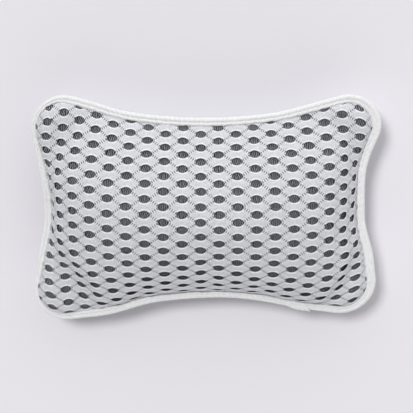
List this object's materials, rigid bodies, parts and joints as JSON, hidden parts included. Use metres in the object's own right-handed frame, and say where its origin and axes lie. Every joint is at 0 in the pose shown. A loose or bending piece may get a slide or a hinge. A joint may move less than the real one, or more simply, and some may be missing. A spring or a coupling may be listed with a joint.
{
  "type": "bath pillow",
  "caption": "Bone-shaped bath pillow: perforated spacer-mesh front with a crowned fibre fill, bound edge, plain knit back and suction cups that hold it to a tub.",
  "frame": {"origin": "under the middle of the pillow, in the plane of the suction cups' rims", "axes": "+X along the pillow, +Y to its upper long side as pictured, +Z out of the crowned front"},
  "size_m": [0.3096, 0.2084, 0.0781],
  "materials": {
    "face_knit": "matte warp knit with oval holes",
    "base_knit": "matte charcoal knit",
    "fibre_fill": "loose polyester fibre",
    "back_knit": "matte plain knit",
    "binding_tape": "matte folded tape",
    "eyelet_plastic": "satin white polypropylene",
    "cup_vinyl": "clear soft vinyl, glossy"
  },
  "bodies": {
    "pillow": {"front_mesh_face": "face_knit", "front_mesh_base": "base_knit", "fill_pad": "fibre_fill", "back_panel": "back_knit", "edge_binding": "binding_tape", "eyelet_1": "eyelet_plastic", "eyelet_2": "eyelet_plastic", "eyelet_3": "eyelet_plastic", "eyelet_4": "eyelet_plastic", "eyelet_washer_1": "eyelet_plastic", "eyelet_washer_2": "eyelet_plastic", "eyelet_washer_3": "eyelet_plastic", "eyelet_washer_4": "eyelet_plastic"},
    "cup_1": {"suction_cup_1": "cup_vinyl"},
    "cup_2": {"suction_cup_2": "cup_vinyl"},
    "cup_3": {"suction_cup_3": "cup_vinyl"},
    "cup_4": {"suction_cup_4": "cup_vinyl"}
  },
  "joints": [
    {"name": "cup_1_spin", "type": "hinge", "parent": "pillow", "child": "cup_1", "pos_m": [0.088, 0.042, 0], "axis": [0, 0, 1], "continuous": true},
    {"name": "cup_2_spin", "type": "hinge", "parent": "pillow", "child": "cup_2", "pos_m": [-0.088, 0.042, 0], "axis": [0, 0, 1], "continuous": true},
    {"name": "cup_3_spin", "type": "hinge", "parent": "pillow", "child": "cup_3", "pos_m": [-0.088, -0.042, 0], "axis": [0, 0, 1], "continuous": true},
    {"name": "cup_4_spin", "type": "hinge", "parent": "pillow", "child": "cup_4", "pos_m": [0.088, -0.042, 0], "axis": [0, 0, 1], "continuous": true}
  ]
}
